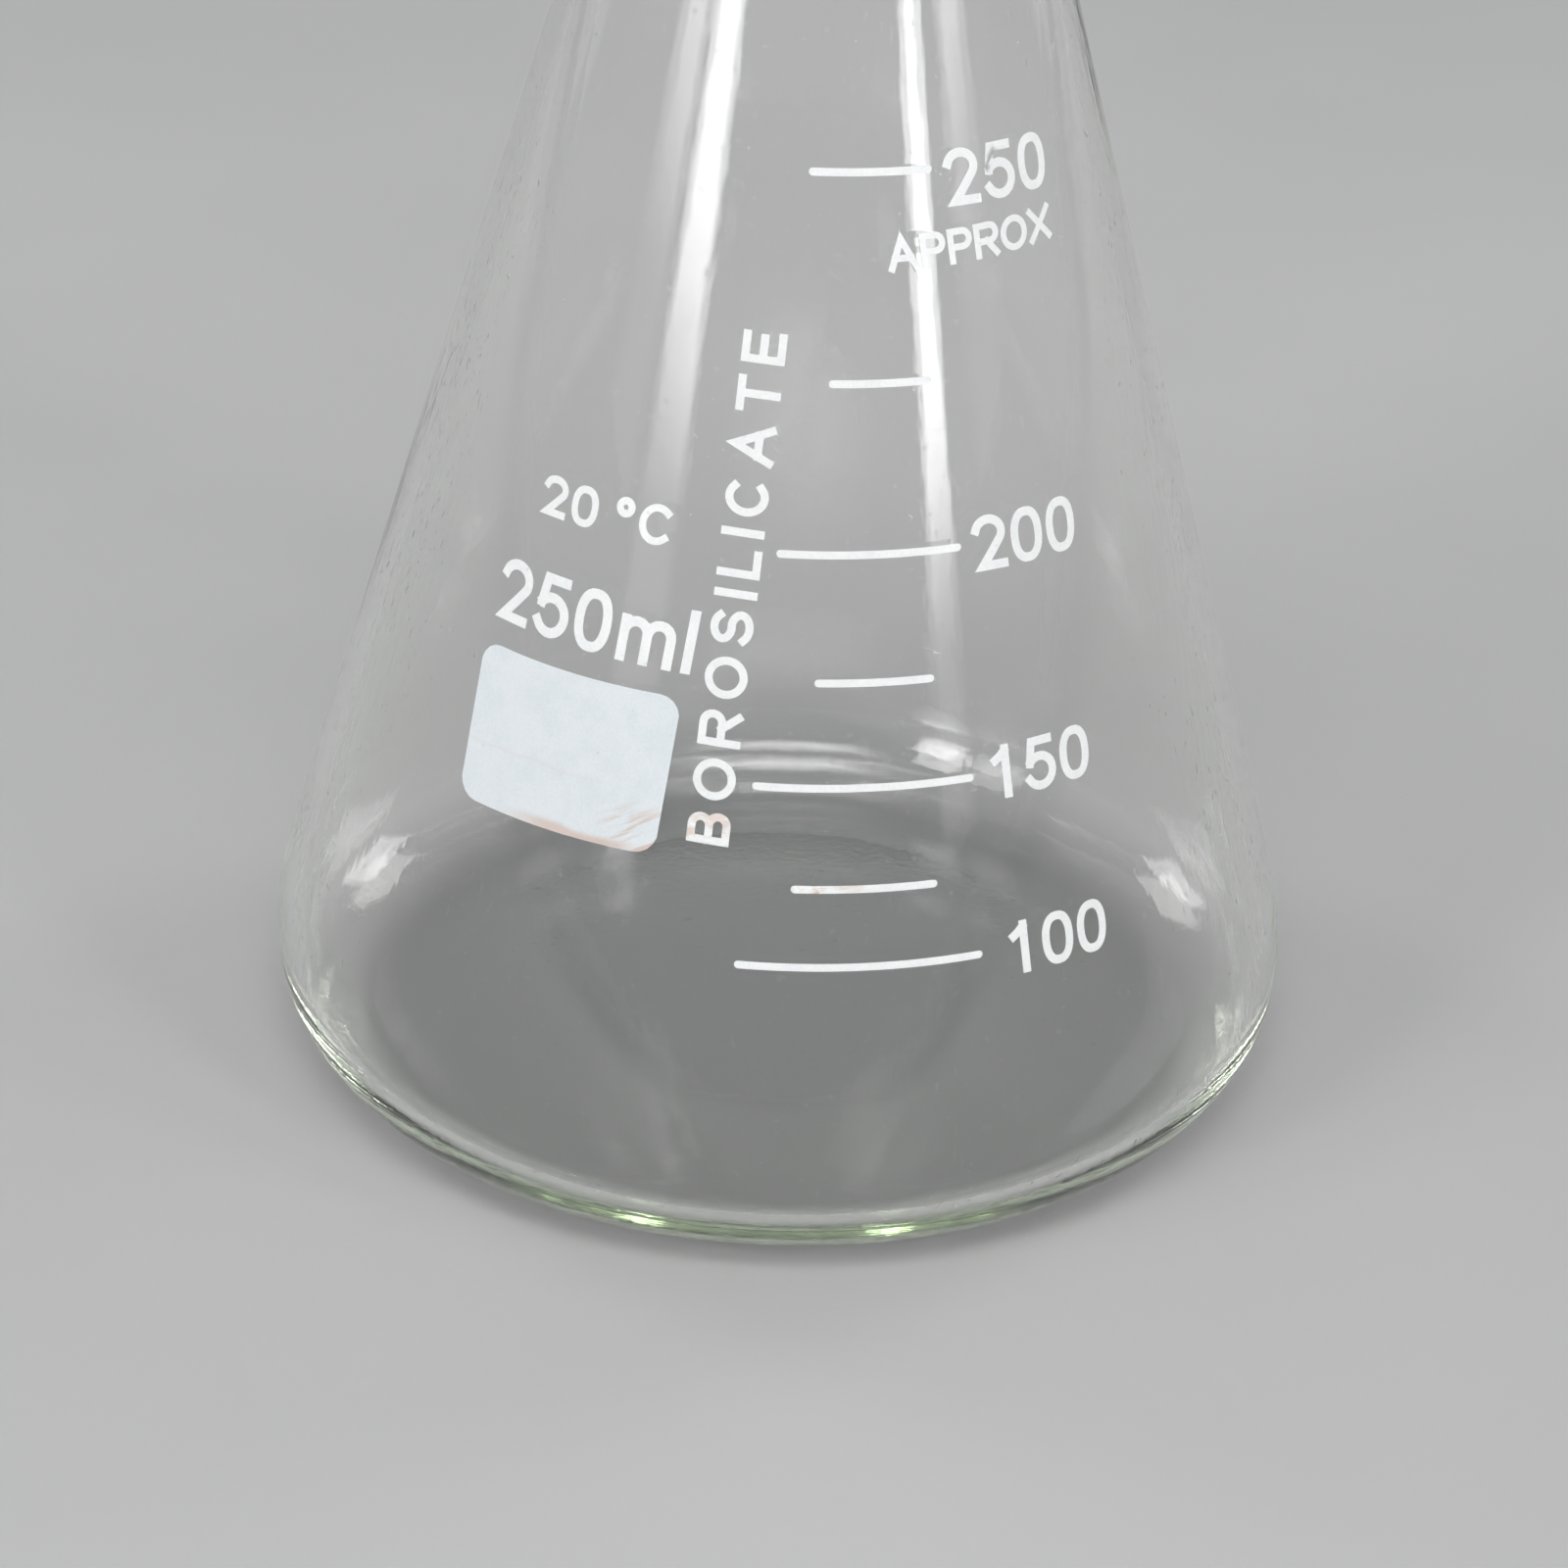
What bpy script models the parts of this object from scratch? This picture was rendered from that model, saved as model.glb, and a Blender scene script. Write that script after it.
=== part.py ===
"""Narrow-neck Erlenmeyer (conical) flask, 250 ml: one blown glass body and its fired enamel marks.

The flask stands on z = 0 with its axis on Z. The column of graduations faces -Y.
Every enamel mark is a thin separate solid that follows the cone, just clear of the glass.
Angles round the flask are measured from -Y, positive towards +X.
"""
import math

import bmesh
import bpy

MM = 0.001

# Glass body, in millimetres.
BODY_RADIUS = 41.5
TOTAL_HEIGHT = 142.0
CONE_HALF_ANGLE = math.radians(16.4)
WALL = 1.6
HEEL_LOWER_RADIUS = 9.6        # from the resting ring up to the widest circle
HEEL_UPPER_RADIUS = 21.0       # from the widest circle into the cone
HEEL_WALL = 2.8
RESTING_RING_WIDTH = 4.5
PUNT_RISE = 2.0                # how far the middle of the underside stands off the bench
FLOOR_THICKNESS = 2.4
NECK_RADIUS = 17.0
NECK_BLEND_RADIUS = 16.0
RIM_BEAD_RADIUS = 2.1
RIM_OVERHANG = 1.9             # how far the rolled rim stands out past the neck
SEGMENTS = 60                  # facets round the flask
SHARP_ANGLE = math.radians(40)
GLASS_IOR = 1.473

# Enamel marks, in millimetres.
MARK_GAP = 0.10                # clearance between the glass and a mark
MARK_THICKNESS = 0.25
LINE_WIDTH = 0.57
FACET_LENGTH = 1.4             # longest facet of a mark along the cone's curve

# Volume in ml: (height of the line, angle of its left end, angle of its right end).
GRADUATIONS = {
    100: (26.4, -4.7, 23.8),
    125: (32.0, 1.3, 18.7),
    150: (39.2, -3.9, 24.1),
    175: (46.6, 3.4, 19.4),
    200: (55.5, -2.5, 24.4),
    225: (67.2, 4.3, 21.0),
    250: (81.4, -0.4, 23.4),
}
# Volume in ml: (angle of the numeral's middle, how far it sits below its line).
NUMERALS = {100: (33.7, 0.1), 150: (33.7, 0.0), 200: (35.4, 0.0), 250: (38.2, 0.75)}
NUMERAL_PITCH = 3.23

PATCH_WIDTH = 17.3
PATCH_HEIGHT = 11.9
PATCH_CORNER = 1.7
PATCH_CENTRE = (-29.1, 39.1)   # angle in degrees, height in millimetres

# Outer width of each character as a share of its height; I is one stroke wide.
CHARACTER_WIDTHS = {
    "0": 0.69, "1": 0.40, "2": 0.69, "5": 0.69, "A": 0.92, "B": 0.76, "C": 0.88, "E": 0.72,
    "L": 0.66, "O": 0.98, "P": 0.78, "R": 0.84, "S": 0.80, "T": 0.82, "X": 0.92,
}

GLASS_COLOUR = (0.93, 0.97, 0.94)
ENAMEL_COLOUR = (0.86, 0.89, 0.90)


# ---------------------------------------------------------------- outlines

def arc(centre, radii, start, end, steps):
    """Points on an elliptical arc; the angles are in degrees."""
    points = []
    for i in range(steps + 1):
        angle = math.radians(start + (end - start) * i / steps)
        points.append((centre[0] + radii[0] * math.cos(angle),
                       centre[1] + radii[1] * math.sin(angle)))
    return points


def round_arc(centre, radius, start, end, steps):
    """Points on a circular arc; the angles are in degrees."""
    return arc(centre, (radius, radius), start, end, steps)


def dome(edge_radius, edge_height, rise, steps):
    """A shallow spherical cap, listed from its middle on the axis out to its edge."""
    radius = (edge_radius ** 2 + rise ** 2) / (2 * rise)
    half_angle = math.degrees(math.asin(edge_radius / radius))
    return round_arc((0, edge_height + rise - radius), radius, 90, 90 - half_angle, steps)


def cone_radius(height):
    """Outer radius of the straight cone at a height."""
    heel_top = HEEL_LOWER_RADIUS + HEEL_UPPER_RADIUS * math.sin(CONE_HALF_ANGLE)
    heel_radius = BODY_RADIUS - HEEL_UPPER_RADIUS * (1 - math.cos(CONE_HALF_ANGLE))
    return heel_radius - (height - heel_top) * math.tan(CONE_HALF_ANGLE)


def neck_corner(inset):
    """Height at which the cone, moved in by an inset, meets the neck's wall moved in alike."""
    slant_shift = inset / math.cos(CONE_HALF_ANGLE) - inset
    return (cone_radius(0) - slant_shift - NECK_RADIUS) / math.tan(CONE_HALF_ANGLE)


def shoulder(inset, steps):
    """The hollow curve from the cone into the neck, listed upwards."""
    degrees = math.degrees(CONE_HALF_ANGLE)
    radius = NECK_BLEND_RADIUS + inset
    tangent = radius * math.tan(CONE_HALF_ANGLE / 2)
    centre = (NECK_RADIUS - inset + radius, neck_corner(inset) + tangent)
    return round_arc(centre, radius, 180 + degrees, 180, steps)


def outer_profile():
    """The outside, as (radius, height), from the middle of the underside up to the neck."""
    degrees = math.degrees(CONE_HALF_ANGLE)
    ring_outer = BODY_RADIUS - HEEL_LOWER_RADIUS
    upper_centre = (BODY_RADIUS - HEEL_UPPER_RADIUS, HEEL_LOWER_RADIUS)
    points = dome(ring_outer - RESTING_RING_WIDTH, 0, PUNT_RISE, 3)
    points += round_arc((ring_outer, HEEL_LOWER_RADIUS), HEEL_LOWER_RADIUS, -90, 0, 7)
    points += round_arc(upper_centre, HEEL_UPPER_RADIUS, 0, degrees, 3)[1:]
    return points + shoulder(0, 4)


def rim_profile():
    """The rolled rim: out from the neck, over the top and back down into the mouth."""
    crest = NECK_RADIUS + RIM_OVERHANG - RIM_BEAD_RADIUS
    lip = crest - (NECK_RADIUS - WALL)
    outside = round_arc((crest, TOTAL_HEIGHT - RIM_BEAD_RADIUS), RIM_BEAD_RADIUS, -84, 90, 8)
    return outside + round_arc((crest, TOTAL_HEIGHT - lip), lip, 90, 180, 4)[1:]


def inner_profile():
    """The inside, from the neck down to the middle of the floor."""
    degrees = math.degrees(CONE_HALF_ANGLE)
    lower = HEEL_LOWER_RADIUS - HEEL_WALL
    floor_radius = BODY_RADIUS - WALL - lower
    upper_centre = (BODY_RADIUS - HEEL_UPPER_RADIUS, HEEL_LOWER_RADIUS)
    points = shoulder(WALL, 4)[::-1]
    points += round_arc(upper_centre, HEEL_UPPER_RADIUS - WALL, degrees, 0, 3)
    points += round_arc((floor_radius, HEEL_LOWER_RADIUS), lower, 0, -90, 6)[1:]
    rise = PUNT_RISE + FLOOR_THICKNESS - HEEL_WALL
    return points + dome(floor_radius, HEEL_WALL, rise, 3)[-2::-1]


# ---------------------------------------------------------------- meshes and materials

def principled(name, colour, roughness, transmission=0.0):
    material = bpy.data.materials.new(name)
    material.use_nodes = True
    shader = material.node_tree.nodes["Principled BSDF"]
    shader.inputs["Base Color"].default_value = (*colour, 1.0)
    shader.inputs["Roughness"].default_value = roughness
    shader.inputs["Metallic"].default_value = 0.0
    shader.inputs["Transmission Weight"].default_value = transmission
    shader.inputs["IOR"].default_value = GLASS_IOR
    material.diffuse_color = (*colour, 1.0)
    return material


def finish(name, bm, material, parent):
    """Turn a bmesh into a named, shaded object under the flask's empty."""
    bmesh.ops.recalc_face_normals(bm, faces=bm.faces[:])
    if bm.calc_volume(signed=True) < 0:
        bmesh.ops.reverse_faces(bm, faces=bm.faces[:])
    mesh = bpy.data.meshes.new(name)
    bm.to_mesh(mesh)
    bm.free()
    mesh.materials.append(material)
    mesh.shade_smooth()
    mesh.set_sharp_from_angle(angle=SHARP_ANGLE)
    piece = bpy.data.objects.new(name, mesh)
    piece.parent = parent
    bpy.context.collection.objects.link(piece)


def glass_body(parent):
    """The flask itself: one closed profile from axis to axis, turned about Z."""
    bm = bmesh.new()
    profile = outer_profile() + rim_profile() + inner_profile()
    verts = [bm.verts.new((radius * MM, 0, height * MM)) for radius, height in profile]
    edges = [bm.edges.new(pair) for pair in zip(verts, verts[1:])]
    bmesh.ops.spin(bm, geom=verts + edges, cent=(0, 0, 0), axis=(0, 0, 1),
                   angle=2 * math.pi, steps=SEGMENTS, use_merge=True)
    bmesh.ops.remove_doubles(bm, verts=bm.verts[:], dist=1e-7)
    material = principled("flask_body_glass", GLASS_COLOUR, 0.03, transmission=1.0)
    finish("flask_body", bm, material, parent)


# ---------------------------------------------------------------- strokes of a mark

def capped(path, reach):
    """The path with both ends pushed out, so that a stroke ends square past its last point."""
    ends = []
    for tip, inner in ((path[0], path[1]), (path[-1], path[-2])):
        length = math.dist(tip, inner)
        ends.append((tip[0] + (tip[0] - inner[0]) * reach / length,
                     tip[1] + (tip[1] - inner[1]) * reach / length))
    return [ends[0]] + path[1:-1] + [ends[1]]


def heading(start, end):
    length = math.dist(start, end)
    return ((end[0] - start[0]) / length, (end[1] - start[1]) / length)


def stroke_pairs(path, width, closed):
    """Left and right edge points along a centre line, with mitred corners."""
    if not closed:
        path = capped(path, width / 2)
    headings = [heading(start, end) for start, end in zip(path, path[1:] + path[:1])]
    if not closed:
        headings[-1] = headings[-2]
    pairs = []
    for i, (x, y) in enumerate(path):
        before = headings[i - 1] if closed or i > 0 else headings[0]
        after = headings[i]
        normal = (-before[1] - after[1], before[0] + after[0])
        size = math.hypot(*normal)
        cosine = (after[0] * normal[1] - after[1] * normal[0]) / size
        reach = width / 2 / cosine / size
        pairs.append(((x + normal[0] * reach, y + normal[1] * reach),
                      (x - normal[0] * reach, y - normal[1] * reach)))
    return pairs


def rounded_bar_pairs(length, width, radius):
    """Upper and lower edge points along a bar whose corners are rounded."""
    half = length / 2
    columns = [-half + radius * (1 - math.cos(math.radians(a))) for a in (12, 30, 50, 70, 90)]
    steps = math.ceil((length - 2 * radius) / FACET_LENGTH)
    straight = [-half + radius + (length - 2 * radius) * i / steps for i in range(1, steps)]
    columns += straight + [-x for x in reversed(columns)]
    pairs = []
    for x in columns:
        into_corner = max(0.0, abs(x) - (half - radius))
        cut = radius - math.sqrt(radius ** 2 - into_corner ** 2)
        pairs.append(((x, width / 2 - cut), (x, cut - width / 2)))
    return pairs


def ribbon(pairs, closed=False):
    """A flat closed slab between paired edge points: z is 0 underneath and 1 on top."""
    bm = bmesh.new()
    rings = []
    for left, right in pairs:
        rings.append([bm.verts.new((*left, 0)), bm.verts.new((*right, 0)),
                      bm.verts.new((*right, 1)), bm.verts.new((*left, 1))])
    following = rings[1:] + rings[:1] if closed else rings[1:]
    for ring, after in zip(rings, following):
        for k in range(4):
            bm.faces.new((ring[k], ring[(k + 1) % 4], after[(k + 1) % 4], after[k]))
    if not closed:
        bm.faces.new(rings[0])
        bm.faces.new(rings[-1][::-1])
    bmesh.ops.recalc_face_normals(bm, faces=bm.faces[:])
    return bm


def flat_object(label, bm):
    mesh = bpy.data.meshes.new(label)
    bm.to_mesh(mesh)
    bm.free()
    piece = bpy.data.objects.new(label, mesh)
    bpy.context.collection.objects.link(piece)
    return piece


def united(slabs):
    """Join flat slabs that cross into one body, with a Boolean union."""
    whole = slabs[0]
    for slab in slabs[1:]:
        first = flat_object("whole", whole)
        second = flat_object("slab", slab)
        union = first.modifiers.new("union", "BOOLEAN")
        union.operation = "UNION"
        union.solver = "EXACT"
        union.object = second
        evaluated = first.evaluated_get(bpy.context.evaluated_depsgraph_get())
        whole = bmesh.new()
        whole.from_mesh(evaluated.to_mesh())
        evaluated.to_mesh_clear()
        bpy.data.objects.remove(first)
        bpy.data.objects.remove(second)
    return whole


def wrap(name, bm, anchor, parent, turn=0.0):
    """Lay a flat mark on the cone, turned about its anchor, and give it its enamel."""
    angle, height = anchor
    cosine, sine = math.cos(math.radians(turn)), math.sin(math.radians(turn))
    for vert in bm.verts:
        across = vert.co.x * cosine - vert.co.y * sine
        up = vert.co.x * sine + vert.co.y * cosine
        lift = MARK_GAP + MARK_THICKNESS * vert.co.z
        level = height + up * math.cos(CONE_HALF_ANGLE)
        around = math.radians(angle) + across / cone_radius(level)
        reach = cone_radius(level) + lift * math.cos(CONE_HALF_ANGLE)
        vert.co = (reach * math.sin(around) * MM, -reach * math.cos(around) * MM,
                   (level + lift * math.sin(CONE_HALF_ANGLE)) * MM)
    finish(name, bm, principled(name + "_enamel", ENAMEL_COLOUR, 0.35), parent)


# ---------------------------------------------------------------- characters

def bowl_loop(w, low, high):
    """A closed loop with a straight left side and a round right side, as in P and B."""
    reach = (high - low) / 2
    return [(0, low), (0, high)] + arc((w - reach, low + reach), (reach, reach), 90, -90, 10)


def squared_oval(half_w, half_h, steps):
    """A closed oval with flattened sides, as a printed nought has."""
    points = []
    for i in range(steps):
        angle = 2 * math.pi * i / steps
        across, up = math.cos(angle), math.sin(angle)
        points.append((half_w + half_w * math.copysign(abs(across) ** 0.8, across),
                       half_h + half_h * math.copysign(abs(up) ** 0.9, up)))
    return points


def strokes_of(glyph, w, h):
    """Centre lines of a character in a box w wide and h high, as (path, closed) pairs."""
    half_w, half_h = w / 2, h / 2
    stem = [(0, 0), (0, h)]
    if glyph == "0":
        return [(squared_oval(half_w, half_h, 28), True)]
    if glyph == "O":
        return [(arc((half_w, half_h), (half_w, half_h), 0, 360, 24)[:-1], True)]
    if glyph == "degree":
        return [(arc((half_w, h - half_w), (half_w, half_w), 0, 360, 16)[:-1], True)]
    if glyph in "Il":
        return [(stem, False)]
    if glyph == "C":
        return [(arc((half_w, half_h), (half_w, half_h), 48, 312, 20), False)]
    if glyph == "1":
        flag = [(0.95 * w, 0.96 * h), (0.5 * w, 0.84 * h), (0.1 * w, 0.77 * h)]
        return [([(w, 0), (w, h)], False), (flag, False)]
    if glyph == "2":
        bowl = arc((half_w, 0.72 * h), (half_w, 0.28 * h), 165, -28, 14)
        return [(bowl + [(0.62 * w, 0.34 * h), (0.16 * w, 0), (w, 0)], False)]
    if glyph == "5":
        bowl = arc((0.48 * w, 0.33 * h), (0.52 * w, 0.33 * h), 138, -152, 16)
        return [([(0.9 * w, h), (0.2 * w, h), (0.08 * w, 0.53 * h)], False), (bowl, False)]
    if glyph == "m":
        strokes = [(stem, False)]
        for left in (0, half_w):
            crown = arc((left + half_w / 2, h - half_w / 2), (half_w / 2, half_w / 2), 180, 0, 8)
            strokes.append(([(left, half_h)] + crown + [(left + half_w, 0)], False))
        return strokes
    if glyph == "A":
        legs = [(0, 0), (half_w, h), (w, 0)]
        return [(legs, False), ([(0.17 * w, 0.34 * h), (0.83 * w, 0.34 * h)], False)]
    if glyph == "X":
        return [([(0, 0), (w, h)], False), ([(0, h), (w, 0)], False)]
    if glyph == "L":
        return [([(0, h), (0, 0), (w, 0)], False)]
    if glyph == "T":
        return [([(half_w, 0), (half_w, 0.95 * h)], False), ([(0, h), (w, h)], False)]
    if glyph == "E":
        outline = [(w, h), (0, h), (0, 0), (w, 0)]
        return [(outline, False), ([(0.05 * w, half_h), (0.9 * w, half_h)], False)]
    if glyph == "S":
        upper = arc((half_w, 0.75 * h), (0.46 * w, 0.25 * h), 25, 262, 12)
        lower = arc((half_w, 0.26 * h), (half_w, 0.26 * h), 78, -155, 12)
        return [(upper + lower, False)]
    if glyph == "B":
        return [(bowl_loop(0.94 * w, half_h, h), True), (bowl_loop(w, 0, half_h), True)]
    waist = 0.46 * h
    strokes = [(bowl_loop(w, waist, h), True), ([(0, 0), (0, waist)], False)]
    if glyph == "R":
        strokes.append(([(0.5 * w, waist), (0.96 * w, 0)], False))
    return strokes


def character(name, glyph, size, stroke, corner, anchor, parent, turn=0.0):
    """One printed character: size is its outer width and height, corner its lower left one."""
    slabs = []
    for path, closed in strokes_of(glyph, size[0] - stroke, size[1] - stroke):
        placed = [(x + stroke / 2 + corner[0], y + stroke / 2 + corner[1]) for x, y in path]
        slabs.append(ribbon(stroke_pairs(placed, stroke, closed), closed))
    wrap(name, united(slabs), anchor, parent, turn)


def run_of(prefix, cells, stroke, anchor, parent, turn=0.0):
    """Characters on one base line, centred on the anchor and turned about it.

    Each cell is a character, its outer width and height, and the gap that follows it.
    """
    x = -sum(width + gap for _, width, _, gap in cells) / 2
    for place, (glyph, width, height, gap) in enumerate(cells, start=1):
        name = f"{prefix}_{place}_{glyph}"
        character(name, glyph, (width, height), stroke, (x, 0), anchor, parent, turn)
        x += width + gap


def capitals(prefix, letters, height, stroke, gap, anchor, parent, turn):
    """A word in capitals of one height."""
    cells = []
    for letter in letters:
        width = CHARACTER_WIDTHS[letter] * height if letter in CHARACTER_WIDTHS else stroke
        cells.append((letter, width, height, gap))
    run_of(prefix, cells, stroke, anchor, parent, turn)


def graduation(volume, parent):
    height, start, end = GRADUATIONS[volume]
    length = math.radians(end - start) * cone_radius(height)
    bar = ribbon(rounded_bar_pairs(length, LINE_WIDTH, LINE_WIDTH / 2))
    wrap(f"graduation_{volume}", bar, ((start + end) / 2, height), parent)


def numeral(volume, parent):
    """The figures beside a numbered line, each in a cell of one width."""
    height, stroke = 4.05, 0.66
    angle, drop = NUMERALS[volume]
    anchor = (angle, GRADUATIONS[volume][0] - drop)
    width = CHARACTER_WIDTHS["0"] * height
    start = -(2 * NUMERAL_PITCH + width) / 2
    for place, figure in enumerate(str(volume)):
        inset = 0.4 if figure == "1" else 0.0
        size = (CHARACTER_WIDTHS[figure] * height, height)
        corner = (start + place * NUMERAL_PITCH + inset, -height / 2)
        name = f"numeral_{volume}_{place + 1}"
        character(name, figure, size, stroke, corner, anchor, parent)


def capacity(parent):
    """The nominal capacity: large figures, then the unit in small letters."""
    tall, small, stroke = 4.7, 3.5, 0.75
    cells = [("2", 3.15, tall, 0.5), ("5", 3.15, tall, 0.5), ("0", 3.05, tall, 0.7),
             ("m", 4.4, small, 0.7), ("l", stroke, tall, 0.0)]
    run_of("capacity", cells, stroke, (-28.4, 46.6), parent, turn=-0.8)


def calibration_temperature(parent):
    """The temperature at which the flask was calibrated, above its capacity."""
    tall, stroke = 3.0, 0.55
    cells = [("2", 2.3, tall, 0.45), ("0", 2.3, tall, 1.45), ("degree", 1.5, tall, 0.45),
             ("C", 2.75, tall, 0.0)]
    run_of("temperature", cells, stroke, (-28.7, 55.0), parent)


def build():
    for old in list(bpy.data.objects):
        bpy.data.objects.remove(old, do_unlink=True)
    flask = bpy.data.objects.new("erlenmeyer_flask", None)
    bpy.context.collection.objects.link(flask)
    glass_body(flask)
    patch = ribbon(rounded_bar_pairs(PATCH_WIDTH, PATCH_HEIGHT, PATCH_CORNER))
    wrap("writing_patch", patch, PATCH_CENTRE, flask)
    for volume in GRADUATIONS:
        graduation(volume, flask)
    for volume in NUMERALS:
        numeral(volume, flask)
    capitals("approx", "APPROX", 2.52, 0.48, 0.18, (32.0, 74.9), flask, turn=2.2)
    capacity(flask)
    calibration_temperature(flask)
    capitals("material", "BOROSILICATE", 3.15, 0.59, 0.89, (-4.7, 53.0), flask, turn=87.1)


build()
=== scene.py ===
"""Looks of a 250 ml Erlenmeyer flask: clear blown glass with a fired white enamel print."""

import math

import bmesh
import bpy
from mathutils import Matrix, Vector, noise


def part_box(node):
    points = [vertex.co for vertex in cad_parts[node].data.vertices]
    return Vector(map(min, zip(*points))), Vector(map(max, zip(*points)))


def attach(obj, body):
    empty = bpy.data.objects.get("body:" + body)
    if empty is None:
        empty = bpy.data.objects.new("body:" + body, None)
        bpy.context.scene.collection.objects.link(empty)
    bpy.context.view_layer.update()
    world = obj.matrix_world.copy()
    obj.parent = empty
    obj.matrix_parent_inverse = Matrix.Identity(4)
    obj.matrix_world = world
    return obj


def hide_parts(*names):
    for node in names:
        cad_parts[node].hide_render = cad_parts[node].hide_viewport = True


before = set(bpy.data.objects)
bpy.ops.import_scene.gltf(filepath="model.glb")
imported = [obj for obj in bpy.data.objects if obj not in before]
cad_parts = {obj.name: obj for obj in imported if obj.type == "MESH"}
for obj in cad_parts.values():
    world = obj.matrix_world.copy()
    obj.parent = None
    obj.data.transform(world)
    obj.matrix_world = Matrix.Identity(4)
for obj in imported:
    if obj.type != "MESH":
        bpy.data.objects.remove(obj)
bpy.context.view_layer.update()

MM = 0.001
CAD_LOW, CAD_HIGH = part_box("flask_body")

# The flask's sizes in millimetres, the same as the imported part's.
BODY_RADIUS = CAD_HIGH.x / MM
TOTAL_HEIGHT = CAD_HIGH.z / MM
CONE_ANGLE = math.radians(16.4)
WALL = 1.6
HEEL_LOWER_RADIUS = 9.6
HEEL_UPPER_RADIUS = 21.0
HEEL_WALL = 2.8
RESTING_RING_WIDTH = 4.5
RESTING_RING_RISE = 0.15
PUNT_RISE = 2.0
FLOOR_THICKNESS = 2.4
NECK_RADIUS = 17.0
NECK_BLEND_RADIUS = 16.0
RIM_BEAD_RADIUS = 2.1
RIM_OVERHANG = 1.9
RIM_FILLET_RADIUS = 1.6

# How finely the glass is turned, and how uneven blowing left it.
GLASS_SEGMENTS = 224
ROW_STEP = 1.6
INNER_WAVE = 0.10
OUTER_WAVE = 0.025

# Air left between the glass and the floor, so that light reaches the floor under it.
FLOOR_CLEARANCE = 0.03

# The enamel lies on the glass. CAD keeps it further out and thicker, so that its solids stay apart.
CAD_GAP = 0.10
CAD_THICKNESS = 0.25
ENAMEL_GAP = 0.03
ENAMEL_THICKNESS = 0.045
ENAMEL_EDGE_LENGTH = 0.8

# Print edges that turn by more than this are shaded sharp.
SHARP_ANGLE = math.radians(35)

# How close two corners are when they count as one, in the CAD mesh and in the print, and how often
# long edges of a print are halved at most.
SAME_CAD_CORNER = 0.002
SAME_PRINT_CORNER = 0.0005
MOST_HALVINGS = 8

# A profile leaves out steps that are shorter than this, and a radius below the second is on the axis.
SHORTEST_STEP = 0.02
AXIS_RADIUS = 0.01

# Waves of the glass fade in above the heel and fade out below the rim.
WAVES_FROM = 3
WAVES_FADE_IN = 12
WAVES_BELOW_TOP = 4
WAVES_FADE_OUT = 8

# Cycles per millimetre of the waves, how much they are drawn out upwards, and where each noise starts.
SLOW_WAVES, SLOW_START = 0.045, Vector((3.1, 7.7, 1.9))
QUICK_WAVES, QUICK_START, QUICK_DRAWN = 0.13, Vector((9.2, 0.4, 5.5)), 0.35
LINES, LINES_START, LINES_DRAWN = 0.30, Vector((1.7, 2.3, 8.8)), 0.10
SLOW_SHARE = 0.75


# Profiles are lists of (radius, height) in millimetres.


def arc(centre, radius, start, end, steps):
    """Points along an arc, from one angle to another in degrees."""
    points = []
    for i in range(steps + 1):
        angle = math.radians(start + (end - start) * i / steps)
        points.append((centre[0] + radius * math.cos(angle), centre[1] + radius * math.sin(angle)))
    return points


def dome(edge_radius, edge_height, rise, steps):
    """A shallow dome from the axis out to its edge."""
    points = []
    for i in range(steps + 1):
        share = i / steps
        points.append((edge_radius * share, edge_height + rise * (1 - share * share)))
    return points


def cone_radius(height):
    """Radius of the outside of the cone at a height."""
    heel_top = HEEL_LOWER_RADIUS + HEEL_UPPER_RADIUS * math.sin(CONE_ANGLE)
    heel_radius = BODY_RADIUS - HEEL_UPPER_RADIUS * (1 - math.cos(CONE_ANGLE))
    return heel_radius - (height - heel_top) * math.tan(CONE_ANGLE)


def shoulder(inset, steps):
    """The arc between cone and neck, for a surface that lies inset inside the outside."""
    radius = NECK_BLEND_RADIUS + inset
    at_axis_height = cone_radius(0) - (inset / math.cos(CONE_ANGLE) - inset)
    corner = (at_axis_height - NECK_RADIUS) / math.tan(CONE_ANGLE)
    centre = (NECK_RADIUS - inset + radius, corner + radius * math.tan(CONE_ANGLE / 2))
    return arc(centre, radius, 180 + math.degrees(CONE_ANGLE), 180, steps)


def rim():
    """The neck's fillet and the fire-polished bead, from the outside over to the inside."""
    crest = (NECK_RADIUS + RIM_OVERHANG - RIM_BEAD_RADIUS, TOTAL_HEIGHT - RIM_BEAD_RADIUS)
    reach = RIM_BEAD_RADIUS + RIM_FILLET_RADIUS
    across = NECK_RADIUS + RIM_FILLET_RADIUS - crest[0]
    down = math.sqrt(reach * reach - across * across)
    slope = math.degrees(math.atan2(down, across))
    fillet = (crest[0] + across, crest[1] - down)
    lip = crest[0] - (NECK_RADIUS - WALL)
    return (
        arc(fillet, RIM_FILLET_RADIUS, 180, 180 - slope, 8)
        + arc(crest, RIM_BEAD_RADIUS, -slope, 90, 22)
        + arc((crest[0], TOTAL_HEIGHT - lip), lip, 90, 180, 10)
    )


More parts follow.
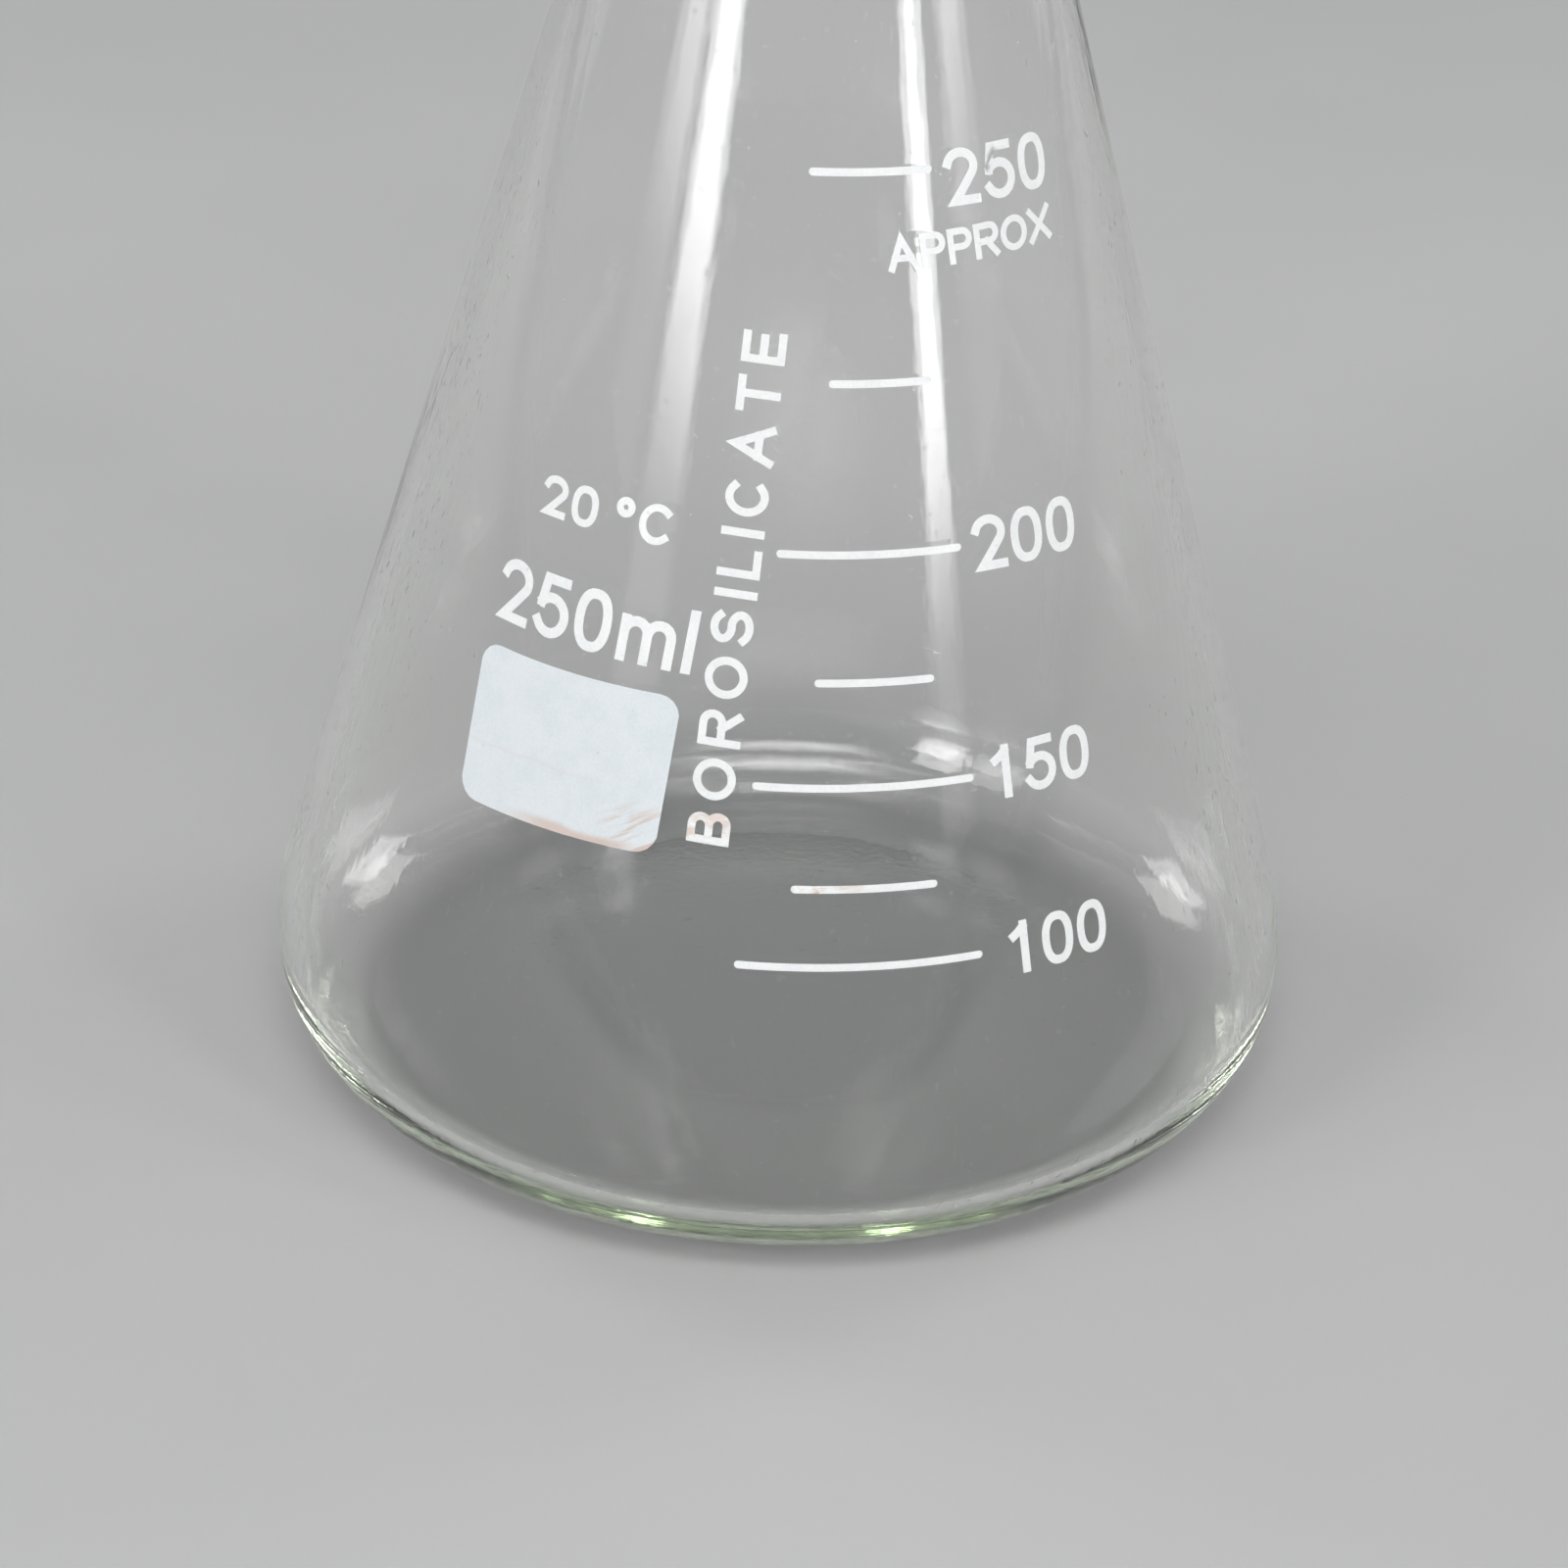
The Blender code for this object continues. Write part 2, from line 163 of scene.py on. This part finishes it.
def glass_profile():
    """The whole section, from the underside's centre round the rim to the inner floor's centre."""
    ring_outer = BODY_RADIUS - HEEL_LOWER_RADIUS
    ring_inner = ring_outer - RESTING_RING_WIDTH
    lean = math.degrees(CONE_ANGLE)
    upper_centre = (BODY_RADIUS - HEEL_UPPER_RADIUS, HEEL_LOWER_RADIUS)
    outer = dome(ring_inner, RESTING_RING_RISE, PUNT_RISE - RESTING_RING_RISE, 14)
    for i in range(1, 8):
        share = 1 - i / 8
        outer.append((ring_outer - RESTING_RING_WIDTH * share, RESTING_RING_RISE * share * share))
    outer += arc((ring_outer, HEEL_LOWER_RADIUS), HEEL_LOWER_RADIUS, -90, 0, 22)
    outer += arc(upper_centre, HEEL_UPPER_RADIUS, 0, lean, 6)
    outer += shoulder(0, 10)
    inner_heel_radius = HEEL_LOWER_RADIUS - HEEL_WALL
    inner_heel_reach = BODY_RADIUS - WALL - inner_heel_radius
    floor_rise = PUNT_RISE + FLOOR_THICKNESS - HEEL_WALL
    inner = dome(inner_heel_reach, HEEL_WALL, floor_rise, 16)
    inner += arc((inner_heel_reach, HEEL_LOWER_RADIUS), inner_heel_radius, -90, 0, 18)
    inner += arc(upper_centre, HEEL_UPPER_RADIUS - WALL, 0, lean, 6)
    inner += shoulder(WALL, 10)
    return outer + rim() + inner[::-1]


def evenly(points, step):
    """The same line with its long stretches cut up and its repeated points left out."""
    made = [points[0]]
    for point in points[1:]:
        last = made[-1]
        length = math.dist(last, point)
        if length < SHORTEST_STEP:
            continue
        pieces = max(1, math.ceil(length / step))
        for i in range(1, pieces + 1):
            share = i / pieces
            made.append(tuple(a + (b - a) * share for a, b in zip(last, point)))
    return made


def wave(x, y, z, inside):
    """How far blowing moved the glass at a point: inwards on both faces, in millimetres."""
    fade_in = min(1, max(0, (z - WAVES_FROM) / WAVES_FADE_IN))
    fade_out = min(1, max(0, (TOTAL_HEIGHT - WAVES_BELOW_TOP - z) / WAVES_FADE_OUT))
    fade = fade_in * fade_out
    if inside:
        slow = noise.noise(Vector((x, y, z)) * SLOW_WAVES + SLOW_START)
        quick = noise.noise(Vector((x, y, z * QUICK_DRAWN)) * QUICK_WAVES + QUICK_START)
        return INNER_WAVE * (SLOW_SHARE * slow + (1 - SLOW_SHARE) * quick) * fade
    drawn = noise.noise(Vector((x, y, z * LINES_DRAWN)) * LINES + LINES_START)
    return OUTER_WAVE * (0.5 + 0.5 * drawn) * fade


def turned(name, profile, inner_from):
    """A closed solid of revolution. Rows from inner_from on belong to the inner face."""
    bm = bmesh.new()
    rows = []
    for index, (radius, height) in enumerate(profile):
        if radius < AXIS_RADIUS:
            rows.append([bm.verts.new((0, 0, height * MM))])
            continue
        row = []
        for segment in range(GLASS_SEGMENTS):
            angle = 2 * math.pi * segment / GLASS_SEGMENTS
            x, y = radius * math.cos(angle), radius * math.sin(angle)
            moved = radius - wave(x, y, height, index >= inner_from)
            place = (moved * math.cos(angle), moved * math.sin(angle), height)
            row.append(bm.verts.new(Vector(place) * MM))
        rows.append(row)
    for lower, upper in zip(rows, rows[1:]):
        for segment in range(GLASS_SEGMENTS):
            after = (segment + 1) % GLASS_SEGMENTS
            if len(lower) == 1:
                bm.faces.new((lower[0], upper[after], upper[segment]))
            elif len(upper) == 1:
                bm.faces.new((lower[segment], lower[after], upper[0]))
            else:
                bm.faces.new((lower[segment], lower[after], upper[after], upper[segment]))
    bmesh.ops.recalc_face_normals(bm, faces=bm.faces)
    if bm.calc_volume(signed=True) < 0:
        bmesh.ops.reverse_faces(bm, faces=bm.faces)
    for face in bm.faces:
        face.smooth = True
    mesh = bpy.data.meshes.new(name)
    bm.to_mesh(mesh)
    bm.free()
    obj = bpy.data.objects.new(name, mesh)
    bpy.context.scene.collection.objects.link(obj)
    return obj


def on_cone(place):
    """A point's angle, its foot on the cone as (radius, height), and how far outside it is."""
    x, y, z = place / MM
    angle = math.atan2(x, -y)
    radius = math.hypot(x, y)
    out = (radius - cone_radius(z)) * math.cos(CONE_ANGLE)
    return angle, radius - out * math.cos(CONE_ANGLE), z - out * math.sin(CONE_ANGLE), out


def enamel(node):
    """A thin print in the shape of a CAD mark, which follows the round of the glass."""
    bm = bmesh.new()
    bm.from_mesh(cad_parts[node].data)
    bmesh.ops.remove_doubles(bm, verts=bm.verts, dist=SAME_CAD_CORNER * MM)
    layer = bm.verts.layers.float.new("level")
    for vert in bm.verts:
        share = (on_cone(vert.co)[3] - CAD_GAP) / CAD_THICKNESS
        vert[layer] = 1.0 if share > 0.5 else 0.0
    for _ in range(MOST_HALVINGS):
        long = [e for e in bm.edges if e.calc_length() > ENAMEL_EDGE_LENGTH * MM]
        if not long:
            break
        bmesh.ops.subdivide_edges(bm, edges=long, cuts=1)
        bmesh.ops.triangulate(bm, faces=bm.faces)
    for vert in bm.verts:
        angle, radius, height, _out = on_cone(vert.co)
        out = ENAMEL_GAP + ENAMEL_THICKNESS * vert[layer]
        radius = radius + out * math.cos(CONE_ANGLE)
        height = height + out * math.sin(CONE_ANGLE)
        vert.co = Vector((radius * math.sin(angle), -radius * math.cos(angle), height)) * MM
    bmesh.ops.remove_doubles(bm, verts=bm.verts, dist=SAME_PRINT_CORNER * MM)
    bmesh.ops.recalc_face_normals(bm, faces=bm.faces)
    if bm.calc_volume(signed=True) < 0:
        bmesh.ops.reverse_faces(bm, faces=bm.faces)
    for face in bm.faces:
        face.smooth = True
    for edge in bm.edges:
        edge.smooth = edge.calc_face_angle(0) < SHARP_ANGLE
    mesh = bpy.data.meshes.new("print_" + node)
    bm.to_mesh(mesh)
    bm.free()
    obj = bpy.data.objects.new("print_" + node, mesh)
    bpy.context.scene.collection.objects.link(obj)
    return obj


# Materials


def new_material(name):
    """A material with only its output and a Principled shader."""
    material = bpy.data.materials.new(name)
    material.use_nodes = True
    tree = material.node_tree
    tree.nodes.clear()
    output = tree.nodes.new("ShaderNodeOutputMaterial")
    shader = tree.nodes.new("ShaderNodeBsdfPrincipled")
    tree.links.new(shader.outputs["BSDF"], output.inputs["Surface"])
    return material, tree, shader, output


def noise_texture(tree, where, scale, detail=3.0, roughness=0.55, distortion=0.0):
    """The Factor of a noise texture, in cycles per metre."""
    node = tree.nodes.new("ShaderNodeTexNoise")
    node.inputs["Scale"].default_value = scale
    node.inputs["Detail"].default_value = detail
    node.inputs["Roughness"].default_value = roughness
    node.inputs["Distortion"].default_value = distortion
    tree.links.new(where, node.inputs["Vector"])
    return node.outputs["Fac"]


def stretched(tree, where, factors):
    """Coordinates multiplied by three factors."""
    node = tree.nodes.new("ShaderNodeVectorMath")
    node.operation = "MULTIPLY"
    node.inputs[1].default_value = factors
    tree.links.new(where, node.inputs[0])
    return node.outputs["Vector"]


def remap(tree, value, low, high, to_low=0.0, to_high=1.0):
    """A value mapped from one range to another, smoothly and clamped."""
    node = tree.nodes.new("ShaderNodeMapRange")
    node.interpolation_type = "SMOOTHSTEP"
    node.inputs["From Min"].default_value = low
    node.inputs["From Max"].default_value = high
    node.inputs["To Min"].default_value = to_low
    node.inputs["To Max"].default_value = to_high
    tree.links.new(value, node.inputs["Value"])
    return node.outputs["Result"]


def maths(tree, operation, first, second):
    """One Math node. An argument is a socket or a number."""
    node = tree.nodes.new("ShaderNodeMath")
    node.operation = operation
    for slot, value in enumerate((first, second)):
        if isinstance(value, (int, float)):
            node.inputs[slot].default_value = value
        else:
            tree.links.new(value, node.inputs[slot])
    return node.outputs["Value"]


def mixed(tree, factor, first, second):
    """Two colours mixed by a factor. Each is a socket or three numbers."""
    node = tree.nodes.new("ShaderNodeMix")
    node.data_type = "RGBA"
    tree.links.new(factor, node.inputs["Factor"])
    for name, value in (("A", first), ("B", second)):
        socket = [s for s in node.inputs if s.name == name and s.type == "RGBA"][0]
        if isinstance(value, tuple):
            socket.default_value = (*value, 1)
        else:
            tree.links.new(value, socket)
    return [s for s in node.outputs if s.type == "RGBA"][0]


def bump(tree, height, distance, shader, strength=1.0):
    """Links a height in metres to the shader's normal."""
    node = tree.nodes.new("ShaderNodeBump")
    node.inputs["Strength"].default_value = strength
    node.inputs["Distance"].default_value = distance
    tree.links.new(height, node.inputs["Height"])
    tree.links.new(node.outputs["Normal"], shader.inputs["Normal"])


# The colour of the depth shows where light has gone a long way inside the glass. Marks are the
# scratches and specks, and the relief is that of the reams and the marks together.
GLASS_IOR = 1.473
GLASS_DEPTH_COLOUR = (0.77, 0.90, 0.62, 1)
GLASS_DEPTH_DENSITY = 10.0
GLASS_RELIEF = 0.006 * MM
CLEANEST_ROUGHNESS = 0.004
FILM_ROUGHNESS = 0.022
MARK_ROUGHNESS = 0.22
MARK_RELIEF = 0.8


def glass_material():
    """Clear borosilicate: a faint green depth, upright reams, hairline scratches and specks."""
    material, tree, shader, output = new_material("clear_borosilicate")
    place = tree.nodes.new("ShaderNodeTexCoord").outputs["Object"]
    shader.inputs["Base Color"].default_value = (1.0, 1.0, 1.0, 1.0)
    shader.inputs["Transmission Weight"].default_value = 1.0
    shader.inputs["IOR"].default_value = GLASS_IOR
    scratches = noise_texture(tree, stretched(tree, place, (1.0, 1.0, 0.05)), 2600, 1.0)
    scratched = remap(tree, scratches, 0.70, 0.74)
    worn = remap(tree, noise_texture(tree, place, 55), 0.52, 0.62)
    hairlines = maths(tree, "MULTIPLY", scratched, worn)
    specks = remap(tree, noise_texture(tree, place, 1500, 0.0), 0.80, 0.84)
    marks = maths(tree, "MAXIMUM", hairlines, specks)
    cloud = noise_texture(tree, place, 30, 4.0)
    film = remap(tree, cloud, 0.35, 0.75, CLEANEST_ROUGHNESS, FILM_ROUGHNESS)
    roughness = maths(tree, "MULTIPLY_ADD", marks, MARK_ROUGHNESS)
    tree.links.new(film, roughness.node.inputs[2])
    tree.links.new(roughness, shader.inputs["Roughness"])
    reams = noise_texture(tree, stretched(tree, place, (1.0, 1.0, 0.02)), 1100, 1.0)
    relief = maths(tree, "MULTIPLY_ADD", marks, MARK_RELIEF)
    tree.links.new(reams, relief.node.inputs[2])
    bump(tree, relief, GLASS_RELIEF, shader)
    depth = tree.nodes.new("ShaderNodeVolumeAbsorption")
    depth.inputs["Color"].default_value = GLASS_DEPTH_COLOUR
    depth.inputs["Density"].default_value = GLASS_DEPTH_DENSITY
    tree.links.new(depth.outputs["Volume"], output.inputs["Volume"])
    return material


# What shows in a pinhole, the colour of the stain, and how far light goes inside the enamel.
PINHOLE_COLOUR = (0.34, 0.36, 0.37)
PINHOLE_STRENGTH = 0.25
STAIN_COLOUR = (0.50, 0.24, 0.11)
ENAMEL_SUBSURFACE = 0.7
ENAMEL_LIGHT_REACH = 0.15 * MM
ENAMEL_RELIEF = 0.006 * MM


def enamel_material(name, colour, thin_colour, roughness, stain=None, stain_strength=1.0):
    """Fired white enamel: mottled, with pinholes and, where stain is given, a rust-brown stain.

    It lets a little light through, so that it isn't black from behind.
    """
    material, tree, shader, _output = new_material(name)
    place = tree.nodes.new("ShaderNodeTexCoord").outputs["Object"]
    cloud = remap(tree, noise_texture(tree, place, 420, 4.0), 0.35, 0.72)
    grain = remap(tree, noise_texture(tree, place, 5200, 2.0), 0.30, 0.75)
    uneven = maths(tree, "MULTIPLY", maths(tree, "ADD", cloud, grain), 0.5)
    body = mixed(tree, uneven, colour, thin_colour)
    pores = noise_texture(tree, place, 2600, 0.0)
    pinholes = remap(tree, pores, 0.82, 0.86, 0.0, PINHOLE_STRENGTH)
    body = mixed(tree, pinholes, body, PINHOLE_COLOUR)
    if stain is not None:
        body = mixed(tree, stain(tree, place, stain_strength), body, STAIN_COLOUR)
    tree.links.new(body, shader.inputs["Base Color"])
    shader.inputs["Subsurface Weight"].default_value = ENAMEL_SUBSURFACE
    shader.inputs["Subsurface Radius"].default_value = (1.0, 1.0, 1.0)
    shader.inputs["Subsurface Scale"].default_value = ENAMEL_LIGHT_REACH
    low, high = roughness
    tree.links.new(remap(tree, uneven, 0.2, 0.8, low, high), shader.inputs["Roughness"])
    bump(tree, maths(tree, "SUBTRACT", uneven, pinholes), ENAMEL_RELIEF, shader)
    return material


def along(tree, place, start, end):
    """0 at the point start and 1 at the point end, in a straight line between."""
    direction = end - start
    node = tree.nodes.new("ShaderNodeVectorMath")
    node.operation = "DOT_PRODUCT"
    node.inputs[1].default_value = direction / direction.length_squared
    tree.links.new(place, node.inputs[0])
    start_value = start.dot(direction) / direction.length_squared
    return maths(tree, "SUBTRACT", node.outputs["Value"], start_value)


def streaks(tree, place, scale):
    """Short smeared streaks, for a stain."""
    smeared = stretched(tree, place, (0.35, 0.35, 1.0))
    return remap(tree, noise_texture(tree, smeared, scale, 4.0, 0.6, 0.6), 0.44, 0.66)


def smears(tree, place, direction, length, width):
    """Streaks about as long and as wide as given, all drawn out in one direction."""
    lengthwise = direction.normalized() * length
    crosswise = direction.cross(Vector((0, 1, 0))).normalized() * width
    both = tree.nodes.new("ShaderNodeCombineXYZ")
    for axis, step in (("X", lengthwise), ("Y", crosswise)):
        tree.links.new(along(tree, place, Vector(), step), both.inputs[axis])
    return remap(tree, noise_texture(tree, both.outputs["Vector"], 1.0, 2.0), 0.46, 0.62)


PATCH_LOW, PATCH_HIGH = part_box("writing_patch")
SMEAR_LENGTH = 5.0 * MM
SMEAR_WIDTH = 0.45 * MM


def patch_stain(tree, place, strength):
    """A line of stain on the patch's lower edge, smears at its lower right, and a faint line across."""
    left = Vector((PATCH_LOW.x, 0, PATCH_LOW.z))
    right = Vector((PATCH_HIGH.x, 0, PATCH_LOW.z))
    size = PATCH_HIGH - PATCH_LOW
    across = along(tree, place, left, right)
    up = along(tree, place, left, left + Vector((0, 0, size.z)))
    wander = noise_texture(tree, place, 160, 2.0)
    wavy_up = maths(tree, "MULTIPLY_ADD", wander, -0.12)
    tree.links.new(up, wavy_up.node.inputs[2])
    from_left = remap(tree, across, 0.15, 0.45)
    to_right = remap(tree, across, 0.90, 0.68)
    edge_length = maths(tree, "MULTIPLY", from_left, to_right)
    edge = maths(tree, "MULTIPLY", remap(tree, wavy_up, 0.01, -0.04), edge_length)
    low_right = maths(tree, "MULTIPLY", remap(tree, across, 0.60, 0.82), remap(tree, up, 0.36, 0.16))
    rising = Vector((0.22 * size.x, 0, 0.17 * size.z))
    drawn_out = smears(tree, place, rising, SMEAR_LENGTH, SMEAR_WIDTH)
    smeared = maths(tree, "MULTIPLY", low_right, drawn_out)
    sagging_up = maths(tree, "MULTIPLY_ADD", wander, -0.10)
    tree.links.new(up, sagging_up.node.inputs[2])
    from_line = maths(tree, "ABSOLUTE", maths(tree, "SUBTRACT", sagging_up, 0.33), 0.0)
    faint = remap(tree, from_line, 0.022, 0.0, 0.0, 0.16)
    line = maths(tree, "MULTIPLY", faint, remap(tree, across, 0.80, 0.55))
    all_three = maths(tree, "MAXIMUM", maths(tree, "MAXIMUM", edge, smeared), line)
    return maths(tree, "MULTIPLY", all_three, strength)


def letter_stain(tree, place, strength):
    """A stain that fades out upwards over the lowest letters of the upright text."""
    low, _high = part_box("material_1_B")
    _low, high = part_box("material_2_O")
    fade = remap(tree, along(tree, place, low, Vector((low.x, low.y, high.z))), 1.0, 0.1)
    return maths(tree, "MULTIPLY", maths(tree, "MULTIPLY", fade, streaks(tree, place, 900)), strength)


def line_stain(tree, place, strength):
    """A stain over the left half of one graduation."""
    low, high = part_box("graduation_125")
    fade = remap(tree, along(tree, place, low, Vector((high.x, low.y, low.z))), 0.60, 0.25)
    return maths(tree, "MULTIPLY", maths(tree, "MULTIPLY", fade, streaks(tree, place, 1300)), strength)


# The floor has two near tones in soft clouds. Distances from its middle are in metres.
FLOOR_NEAR = (0.42, 0.42, 0.417)
FLOOR_NEAR_LIGHTER = (0.45, 0.45, 0.447)
# Painted light: far from the flask the floor's colour is painted lighter, as if that floor were more
# brightly lit.
FLOOR_FAR_PAINTED_LIGHT = (0.93, 0.93, 0.925)
FLOOR_PAINTED_LIGHT_FROM = 0.8
FLOOR_PAINTED_LIGHT_TO = 3.2
FLOOR_RADIUS = 6.0


def floor_material():
    """Matt pale board with a very fine tooth, whose colour is painted lighter far from the flask as
    painted light.
    """
    material, tree, shader, _output = new_material("pale_floor")
    place = tree.nodes.new("ShaderNodeTexCoord").outputs["Object"]
    tone = remap(tree, noise_texture(tree, place, 6, 3.0), 0.3, 0.7)
    tooth = noise_texture(tree, place, 1400, 3.0)
    near = mixed(tree, tone, FLOOR_NEAR, FLOOR_NEAR_LIGHTER)
    length = tree.nodes.new("ShaderNodeVectorMath")
    length.operation = "LENGTH"
    tree.links.new(place, length.inputs[0])
    # Painted light: the colour is painted lighter with distance from the flask.
    painted_light_far = remap(tree, length.outputs["Value"], FLOOR_PAINTED_LIGHT_FROM, FLOOR_PAINTED_LIGHT_TO)
    tree.links.new(mixed(tree, painted_light_far, near, FLOOR_FAR_PAINTED_LIGHT), shader.inputs["Base Color"])
    shader.inputs["Roughness"].default_value = 0.9
    shader.inputs["Specular IOR Level"].default_value = 0.1
    bump(tree, tooth, 0.03 * MM, shader, 0.4)
    return material


# The object

profile = evenly(glass_profile(), ROW_STEP)
crest_row = max(range(len(profile)), key=lambda i: profile[i][1])
glass = turned("glass_body", profile, crest_row)
glass.data.materials.append(glass_material())
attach(glass, "root")
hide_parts("flask_body")

# Thick and thin enamel, and the least and the greatest roughness of each print.
WHITE = (0.86, 0.87, 0.87)
THIN_WHITE = (0.74, 0.76, 0.77)
PATCH_WHITE = (0.67, 0.71, 0.74)
THIN_PATCH_WHITE = (0.60, 0.65, 0.68)
PRINT_ROUGHNESS = (0.30, 0.46)
PATCH_ROUGHNESS = (0.55, 0.72)

print_white = enamel_material("enamel_print", WHITE, THIN_WHITE, PRINT_ROUGHNESS)
patch_white = enamel_material(
    "enamel_writing_patch", PATCH_WHITE, THIN_PATCH_WHITE, PATCH_ROUGHNESS, patch_stain, 0.45
)
stained_line = enamel_material(
    "enamel_stained_line", WHITE, THIN_WHITE, PRINT_ROUGHNESS, line_stain, 0.75
)
stained_letters = enamel_material(
    "enamel_stained_letters", WHITE, THIN_WHITE, PRINT_ROUGHNESS, letter_stain, 0.45
)
materials = {
    "writing_patch": patch_white,
    "graduation_125": stained_line,
    "material_1_B": stained_letters,
    "material_2_O": stained_letters,
}

for node in sorted(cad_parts):
    if node == "flask_body":
        continue
    mark = enamel(node)
    mark.data.materials.clear()
    mark.data.materials.append(materials.get(node, print_white))
    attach(mark, "root")
    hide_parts(node)


# The studio

floor_mesh = bpy.data.meshes.new("studio_floor")
bm = bmesh.new()
bmesh.ops.create_circle(bm, cap_ends=True, segments=96, radius=FLOOR_RADIUS)
bm.to_mesh(floor_mesh)
bm.free()
floor = bpy.data.objects.new("studio_floor", floor_mesh)
floor.data.materials.append(floor_material())
floor.location.z = -FLOOR_CLEARANCE * MM
bpy.context.scene.collection.objects.link(floor)


def soft_box(name, width, height, radiance, place):
    """An area light with a place, hidden from the camera, and the node tree of its face."""
    light = bpy.data.lights.new(name, "AREA")
    light.shape = "RECTANGLE"
    light.size = width
    light.size_y = height
    light.energy = radiance * math.pi * width * height
    light.use_nodes = True
    holder = bpy.data.objects.new(name, light)
    holder.matrix_world = place
    holder.visible_camera = False
    bpy.context.scene.collection.objects.link(holder)
    return light.node_tree


def face_axes(tree):
    """The place on a light's face, from 0 to 1 along each of its sides."""
    face = tree.nodes.new("ShaderNodeNewGeometry").outputs["Parametric"]
    split = tree.nodes.new("ShaderNodeSeparateXYZ")
    tree.links.new(face, split.inputs["Vector"])
    return split.outputs


def from_middle(tree, value):
    """How far a place along one side is from its middle, which is at 0.5."""
    return maths(tree, "ABSOLUTE", maths(tree, "SUBTRACT", value, 0.5), 0.0)


def faded(tree, first, second):
    """Makes a light's face as strong as the product of two shares."""
    strength = tree.nodes["Emission"].inputs["Strength"]
    tree.links.new(maths(tree, "MULTIPLY", first, second), strength)


# Over how much of its height a strip's face fades, and its weakest shares at the bottom and the sides.
FADE_HEIGHT = 0.18
DIMMEST = 0.08
SIDE_DIMMEST = 0.12


def strip_light(name, azimuth, width, low, high, distance, radiance, fade_end=0.25):
    """An upright soft box turned to the flask. Azimuth 0 is in front, and 90 is at the right.

    Azimuth, width, low and high are angles seen from the flask, in degrees. The face is dim at the
    bottom and is at full strength from the share fade_end of its height.
    """
    angle = math.radians(azimuth)
    bottom = distance * math.tan(math.radians(low))
    top = distance * math.tan(math.radians(high))
    place = Vector((distance * math.sin(angle), -distance * math.cos(angle), (bottom + top) / 2))
    turned_to_flask = Matrix.Rotation(angle, 4, "Z") @ Matrix.Rotation(math.radians(90), 4, "X")
    across = 2 * distance * math.tan(math.radians(width / 2))
    tree = soft_box(name, across, top - bottom, radiance, Matrix.Translation(place) @ turned_to_flask)
    face = face_axes(tree)
    soft = remap(tree, from_middle(tree, face["X"]), 0.5, 0.34, SIDE_DIMMEST, 1.0)
    fall = remap(tree, face["Y"], fade_end - FADE_HEIGHT, fade_end, DIMMEST, 1.0)
    faded(tree, soft, fall)


strip_light("soft_box_left", -41, 14, 3, 38, 1.1, 9.0, 0.32)
strip_light("soft_box_right", 43, 9, 3, 38, 1.1, 10.0)
strip_light("dim_box_left", -57, 14, 8, 38, 1.2, 4.0)
strip_light("dim_box_right", 63, 14, 8, 38, 1.2, 4.0)
strip_light("edge_light_left", -120, 22, 3, 30, 1.3, 6.0)
strip_light("edge_light_right", 125, 22, 3, 30, 1.3, 6.0)

# The overhead box is at full strength only within this much of its middle, as a share of its sides.
OVERHEAD_CORE = 0.10
overhead_place = Matrix.Translation((0.0, -0.65, 1.05)) @ Matrix.Rotation(math.radians(32), 4, "X")
overhead = soft_box("overhead_box", 1.0, 0.5, 10.0, overhead_place)
overhead_face = face_axes(overhead)
faded(
    overhead,
    remap(overhead, from_middle(overhead, overhead_face["X"]), 0.5, OVERHEAD_CORE),
    remap(overhead, from_middle(overhead, overhead_face["Y"]), 0.5, OVERHEAD_CORE),
)

world = bpy.data.worlds.new("studio_world")
world.use_nodes = True
background = world.node_tree.nodes["Background"]
background.inputs["Color"].default_value = (0.97, 0.985, 1.0, 1.0)
background.inputs["Strength"].default_value = 0.45
bpy.context.scene.world = world

# Where the camera stood, in metres, how far it looked down and how far it was rolled, fitted to the
# outline of the glass and the graduations.
CAMERA_PLACE = (0.0, -0.2772, 0.1698)
CAMERA_LOOKS_DOWN = 28.15
CAMERA_ROLL = 2.52
CAMERA_LENS = 87.93

camera_data = bpy.data.cameras.new("photo_camera")
camera_data.sensor_width = 36.0
camera_data.lens = CAMERA_LENS
camera_data.clip_start = 0.01
camera_data.clip_end = 50.0
camera = bpy.data.objects.new("photo_camera", camera_data)
camera.matrix_world = (
    Matrix.Translation(CAMERA_PLACE)
    @ Matrix.Rotation(math.radians(90 - CAMERA_LOOKS_DOWN), 4, "X")
    @ Matrix.Rotation(math.radians(CAMERA_ROLL), 4, "Z")
)
bpy.context.scene.collection.objects.link(camera)
bpy.context.scene.camera = camera

bpy.context.scene.view_settings.view_transform = "Standard"

# Light bounces many times inside the heel and down the wall from the rim. Both look black with the
# default number of bounces.
MOST_BOUNCES = 96
light_paths = bpy.context.scene.cycles
light_paths.max_bounces = MOST_BOUNCES
light_paths.transmission_bounces = MOST_BOUNCES
light_paths.glossy_bounces = 32
light_paths.diffuse_bounces = 6

bpy.context.view_layer.update()
